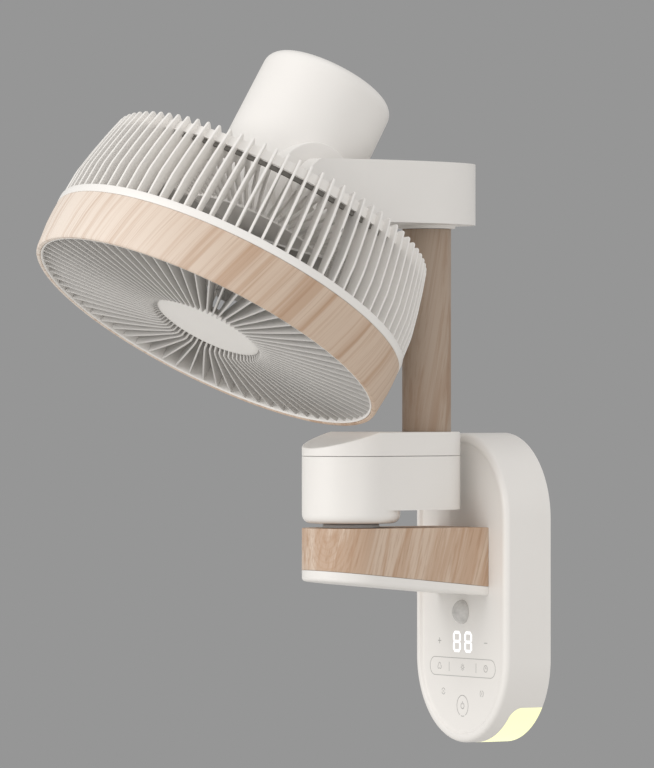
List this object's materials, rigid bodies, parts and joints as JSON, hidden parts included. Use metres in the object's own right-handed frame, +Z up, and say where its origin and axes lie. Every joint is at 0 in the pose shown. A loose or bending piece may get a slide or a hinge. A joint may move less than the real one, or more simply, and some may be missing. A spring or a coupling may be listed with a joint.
{
  "type": "wall mounted fan",
  "caption": "Wall mounted fan: a rounded wall unit with keys and a night light, a folding arm, a wood look column, a side arm and a tilting bladed head in a round grille.",
  "frame": {"origin": "on the wall, at the middle of the wall unit's back plate", "axes": "+Z up, -Y from the wall into the room, +X to the right of someone who faces the wall unit"},
  "size_m": [0.3172, 0.4297, 0.5836],
  "materials": {
    "white": "satin white moulded plastic",
    "wood": "pale oak-look veneer with a satin coat",
    "lens": "translucent warm diffuser, lit",
    "grey_plastic": "grey plastic",
    "dome": "frosted grey translucent plastic",
    "steel": "bright turned steel",
    "zinc": "zinc plated steel",
    "cast": "die cast aluminium",
    "board": "green circuit board",
    "dark": "dark plastic",
    "copper": "varnished copper winding",
    "nylon": "natural nylon",
    "rubber": "black rubber"
  },
  "bodies": {
    "wall_unit": {"front_cover": "white", "wall_bracket": "zinc", "night_light_lens": "lens", "chassis_plate": "zinc", "wire_grommet": "rubber", "power_board": "board", "supply_transformer": "copper", "supply_capacitor": "dark", "control_board": "board", "number_display": "dark", "touch_key_foil": "grey_plastic", "motion_sensor_dome": "dome", "motion_sensor": "zinc", "night_light_board": "board", "lower_arm_skin": "wood", "lower_arm_cap": "white", "arm_beam": "cast", "arm_bolt_upper_right": "zinc", "arm_bolt_upper_left": "zinc", "arm_bolt_lower_right": "zinc", "arm_bolt_lower_left": "zinc", "elbow_shaft": "steel", "elbow_disc": "grey_plastic", "elbow_collar": "zinc"},
    "elbow": {"elbow_housing": "white", "elbow_lid": "white", "elbow_bush": "nylon", "swing_motor": "zinc", "column_bush": "nylon"},
    "pinion": {"swing_pinion": "nylon"},
    "column": {"column_sleeve": "wood", "column_tube": "steel", "column_gear": "nylon", "top_arm_shell": "white", "top_arm_cover": "white", "top_arm_frame": "cast"},
    "fan_head": {"motor_housing": "white", "tilt_shaft": "steel", "tilt_friction_washer": "nylon", "tilt_nut": "zinc", "motor_plate": "cast", "motor_can": "steel", "motor_driver_board": "board", "rear_grille": "white", "wood_band": "wood", "front_grille": "white", "front_hub_disc": "white"},
    "rotor": {"impeller": "white", "fan_shaft": "steel", "fan_nut": "dark"}
  },
  "joints": [
    {"name": "elbow_turn", "type": "hinge", "parent": "wall_unit", "child": "elbow", "pos_m": [0, -0.1533, 0.09], "axis": [0, 0, 1], "range_deg": [-80, 80]},
    {"name": "column_swivel", "type": "hinge", "parent": "elbow", "child": "column", "pos_m": [0, -0.0785, 0.2], "axis": [0, 0, 1], "range_deg": [-45, 45]},
    {"name": "swing_pinion_turn", "type": "hinge", "parent": "elbow", "child": "pinion", "pos_m": [0, -0.1115, 0.078], "axis": [0, 0, 1], "range_deg": [-90, 90]},
    {"name": "head_tilt", "type": "hinge", "parent": "column", "child": "fan_head", "pos_m": [0, -0.226, 0.335], "axis": [1, 0, 0], "range_deg": [-90, 0]},
    {"name": "fan_spin", "type": "hinge", "parent": "fan_head", "child": "rotor", "pos_m": [0, -0.226, 0.335], "axis": [0, -0.5, -0.866], "continuous": true}
  ],
  "couplings": [
    {"joint": "swing_pinion_turn", "follows": "column_swivel", "ratio": -2}
  ]
}
